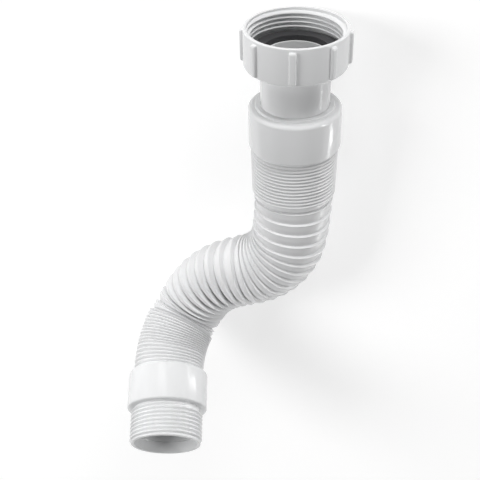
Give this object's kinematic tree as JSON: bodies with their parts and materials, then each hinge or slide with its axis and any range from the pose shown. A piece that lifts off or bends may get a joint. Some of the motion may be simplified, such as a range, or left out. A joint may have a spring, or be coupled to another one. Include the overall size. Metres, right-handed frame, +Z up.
{
  "type": "flexible waste connector",
  "caption": "Flexible waste connector: a coupling nut with washer on a flanged tail, a corrugated pipe bent at rest, and a threaded outlet.",
  "frame": {"origin": "centre of the coupling nut's mouth, on its axis", "axes": "+Z up from the surface that the hose lies on; +Y out of the mouth, seen from above; the pipe runs off along -Y and bends towards -X"},
  "size_m": [0.1162, 0.2493, 0.1042],
  "materials": {
    "white_nut": "moulded polypropylene, satin gloss",
    "white_tail": "moulded polypropylene, satin gloss",
    "white_collar": "moulded polypropylene, satin gloss",
    "white_bellows": "blow-moulded polypropylene, satin",
    "white_outlet": "moulded polypropylene, satin gloss",
    "rubber": "moulded rubber, matt"
  },
  "bodies": {
    "hose": {"sealing_washer": "rubber", "inlet_tail": "white_tail", "inlet_collar": "white_collar", "bellows_pipe": "white_bellows", "outlet_tail": "white_outlet"},
    "nut": {"coupling_nut": "white_nut"}
  },
  "joints": [
    {"name": "nut_spin", "type": "hinge", "parent": "hose", "child": "nut", "pos_m": [0, -0.00797, -0.00068], "axis": [0, 0.9963, 0.0854], "continuous": true}
  ]
}
